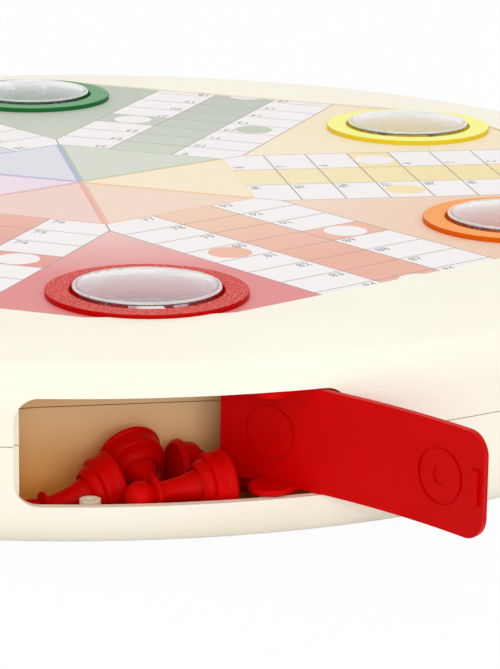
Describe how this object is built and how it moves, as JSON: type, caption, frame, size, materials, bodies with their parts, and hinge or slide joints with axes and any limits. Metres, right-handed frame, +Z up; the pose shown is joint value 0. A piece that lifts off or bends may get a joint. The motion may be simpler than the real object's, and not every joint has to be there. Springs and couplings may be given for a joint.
{
  "type": "ludo board game case",
  "caption": "Round plastic ludo game case: hexagonal board on top, push-dome dice poppers, and curved doors in the rim that pivot open on pawn compartments.",
  "frame": {"origin": "centre of the flat underside, on the table", "axes": "+Z up out of the board, -Y towards the red player's side, whose door stands open"},
  "size_m": [0.412, 0.452, 0.0546],
  "materials": {
    "cream_plastic": "moulded, soft sheen",
    "printed_board": "printed card, satin",
    "steel": "bright",
    "clear_plastic": "polished",
    "die_plastic": "moulded",
    "red_plastic": "moulded",
    "orange_plastic": "moulded",
    "yellow_plastic": "moulded",
    "green_plastic": "moulded",
    "blue_plastic": "moulded",
    "purple_plastic": "moulded"
  },
  "bodies": {
    "case": {"bottom_shell": "cream_plastic", "top_shell": "cream_plastic", "board": "printed_board", "shell_screws": "steel", "red_bezel": "red_plastic", "red_spring_disc": "steel", "red_well": "red_plastic", "orange_bezel": "orange_plastic", "orange_spring_disc": "steel", "orange_well": "orange_plastic", "yellow_bezel": "yellow_plastic", "yellow_spring_disc": "steel", "yellow_well": "yellow_plastic", "green_bezel": "green_plastic", "green_spring_disc": "steel", "green_well": "green_plastic", "blue_bezel": "blue_plastic", "blue_spring_disc": "steel", "blue_well": "blue_plastic", "purple_bezel": "purple_plastic", "purple_spring_disc": "steel", "purple_well": "purple_plastic", "red_pawn_1": "red_plastic", "red_pawn_2": "red_plastic", "red_pawn_3": "red_plastic", "red_pawn_4": "red_plastic", "orange_pawns": "orange_plastic", "yellow_pawns": "yellow_plastic", "green_pawns": "green_plastic", "blue_pawns": "blue_plastic", "purple_pawns": "purple_plastic"},
    "red_popper": {"red_dome": "clear_plastic", "red_tray": "red_plastic", "red_die": "die_plastic"},
    "red_flap": {"red_door": "red_plastic"},
    "orange_popper": {"orange_dome": "clear_plastic", "orange_tray": "orange_plastic", "orange_die": "die_plastic"},
    "orange_flap": {"orange_door": "orange_plastic"},
    "yellow_popper": {"yellow_dome": "clear_plastic", "yellow_tray": "yellow_plastic", "yellow_die": "die_plastic"},
    "yellow_flap": {"yellow_door": "yellow_plastic"},
    "green_popper": {"green_dome": "clear_plastic", "green_tray": "green_plastic", "green_die": "die_plastic"},
    "green_flap": {"green_door": "green_plastic"},
    "blue_popper": {"blue_dome": "clear_plastic", "blue_tray": "blue_plastic", "blue_die": "die_plastic"},
    "blue_flap": {"blue_door": "blue_plastic"},
    "purple_popper": {"purple_dome": "clear_plastic", "purple_tray": "purple_plastic", "purple_die": "die_plastic"},
    "purple_flap": {"purple_door": "purple_plastic"}
  },
  "joints": [
    {"name": "red_door_hinge", "type": "hinge", "parent": "case", "child": "red_flap", "pos_m": [0.023, -0.19797, 0.02605], "axis": [0, 0, 1], "range_deg": [-130, 3]},
    {"name": "orange_door_hinge", "type": "hinge", "parent": "case", "child": "orange_flap", "pos_m": [0.18295, -0.07907, 0.02605], "axis": [0, 0, 1], "range_deg": [0, 133]},
    {"name": "yellow_door_hinge", "type": "hinge", "parent": "case", "child": "yellow_flap", "pos_m": [0.15995, 0.1189, 0.02605], "axis": [0, 0, 1], "range_deg": [0, 133]},
    {"name": "green_door_hinge", "type": "hinge", "parent": "case", "child": "green_flap", "pos_m": [-0.023, 0.19797, 0.02605], "axis": [0, 0, 1], "range_deg": [0, 133]},
    {"name": "blue_door_hinge", "type": "hinge", "parent": "case", "child": "blue_flap", "pos_m": [-0.18295, 0.07907, 0.02605], "axis": [0, 0, 1], "range_deg": [0, 133]},
    {"name": "purple_door_hinge", "type": "hinge", "parent": "case", "child": "purple_flap", "pos_m": [-0.15995, -0.1189, 0.02605], "axis": [0, 0, 1], "range_deg": [0, 133]},
    {"name": "red_popper_press", "type": "slide", "parent": "case", "child": "red_popper", "axis": [0, 0, -1], "range_m": [0, 0.003], "stiffness_N_per_m": 1500, "springref_m": -0.001, "deforming": ["red_spring_disc"]},
    {"name": "orange_popper_press", "type": "slide", "parent": "case", "child": "orange_popper", "axis": [0, 0, -1], "range_m": [0, 0.003], "stiffness_N_per_m": 1500, "springref_m": -0.001, "deforming": ["orange_spring_disc"]},
    {"name": "yellow_popper_press", "type": "slide", "parent": "case", "child": "yellow_popper", "axis": [0, 0, -1], "range_m": [0, 0.003], "stiffness_N_per_m": 1500, "springref_m": -0.001, "deforming": ["yellow_spring_disc"]},
    {"name": "green_popper_press", "type": "slide", "parent": "case", "child": "green_popper", "axis": [0, 0, -1], "range_m": [0, 0.003], "stiffness_N_per_m": 1500, "springref_m": -0.001, "deforming": ["green_spring_disc"]},
    {"name": "blue_popper_press", "type": "slide", "parent": "case", "child": "blue_popper", "axis": [0, 0, -1], "range_m": [0, 0.003], "stiffness_N_per_m": 1500, "springref_m": -0.001, "deforming": ["blue_spring_disc"]},
    {"name": "purple_popper_press", "type": "slide", "parent": "case", "child": "purple_popper", "axis": [0, 0, -1], "range_m": [0, 0.003], "stiffness_N_per_m": 1500, "springref_m": -0.001, "deforming": ["purple_spring_disc"]}
  ]
}
